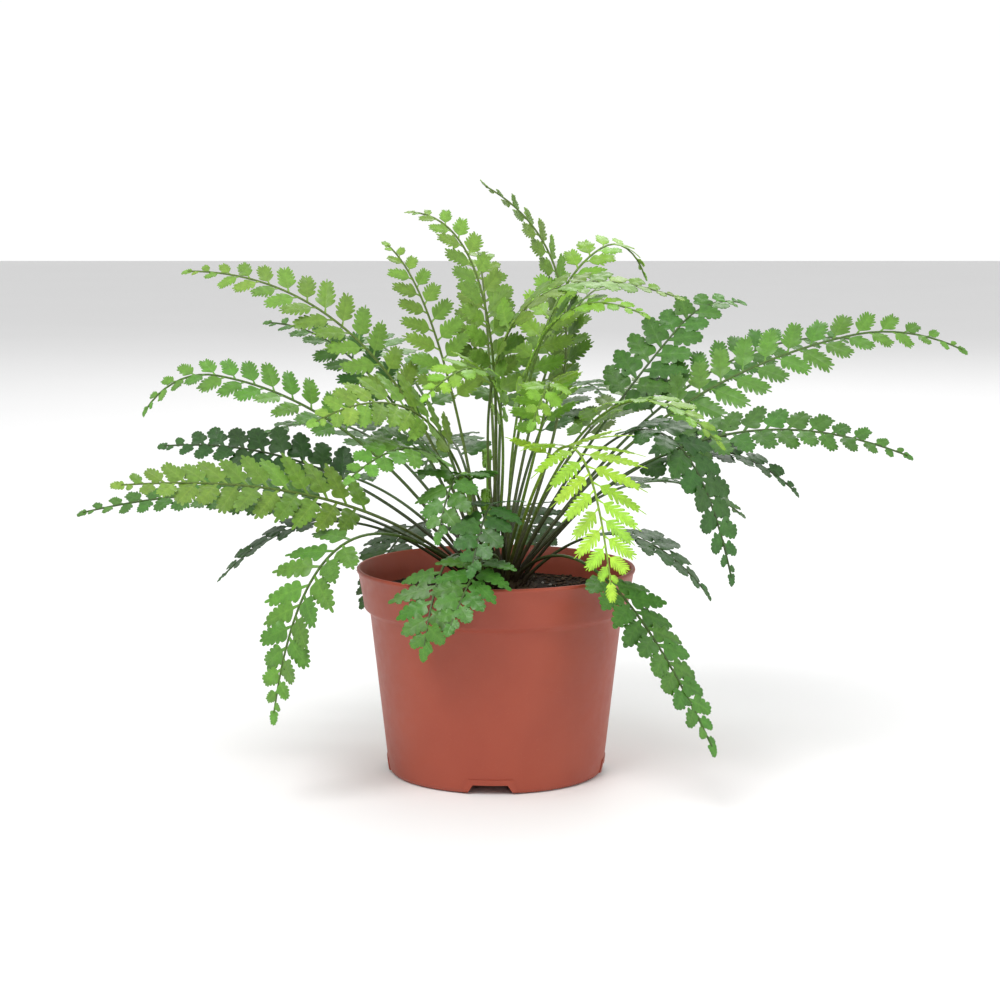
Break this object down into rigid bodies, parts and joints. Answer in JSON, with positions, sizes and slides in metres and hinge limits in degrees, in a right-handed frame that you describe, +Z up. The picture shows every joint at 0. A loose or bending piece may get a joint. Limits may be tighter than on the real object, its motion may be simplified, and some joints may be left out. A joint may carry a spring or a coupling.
{
  "type": "potted fern",
  "caption": "Bushy spleenwort fern with arching toothed fronds, rooted in soil in a round plastic nursery pot with a rim band and water slots.",
  "frame": {"origin": "on the floor, under the middle of the whole plant's bounding box", "axes": "+Z up, +X along the widest spread of the fronds, -Y the side the plant is seen from"},
  "size_m": [0.375, 0.2698, 0.251],
  "materials": {
    "terracotta_plastic": "satin injection-moulded polypropylene",
    "soil": "rough peat and bark, slightly moist",
    "crown": "rough brown scales",
    "leaf": "smooth, softly glossy, with fine veins and paler edges",
    "young_leaf": "smooth yellow-green, softly glossy"
  },
  "bodies": {
    "root": {"pot": "terracotta_plastic", "potting_soil": "soil", "crown": "crown", "crozier_01": "young_leaf", "crozier_02": "young_leaf", "crozier_03": "young_leaf", "frond_01": "leaf", "frond_02": "leaf", "frond_03": "leaf", "frond_04": "leaf", "frond_05": "leaf", "frond_06": "leaf", "frond_07": "leaf", "frond_08": "leaf", "frond_09": "leaf", "frond_10": "leaf", "frond_11": "leaf", "frond_12": "leaf", "frond_13": "leaf", "frond_14": "leaf", "frond_15": "leaf", "frond_16": "leaf", "frond_17": "leaf", "frond_18": "leaf", "frond_19": "leaf", "frond_20": "leaf", "frond_21": "young_leaf", "frond_22": "leaf", "frond_23": "leaf", "frond_24": "leaf", "frond_25": "leaf", "frond_26": "leaf", "frond_27": "leaf", "frond_28": "leaf", "frond_29": "leaf", "frond_30": "leaf", "frond_31": "leaf", "frond_32": "leaf", "frond_33": "leaf", "frond_34": "leaf", "frond_35": "leaf", "frond_36": "leaf", "frond_37": "leaf", "frond_38": "leaf", "frond_39": "leaf", "frond_40": "leaf", "frond_41": "leaf", "frond_42": "leaf", "frond_43": "leaf", "frond_44": "leaf"}
  },
  "joints": []
}
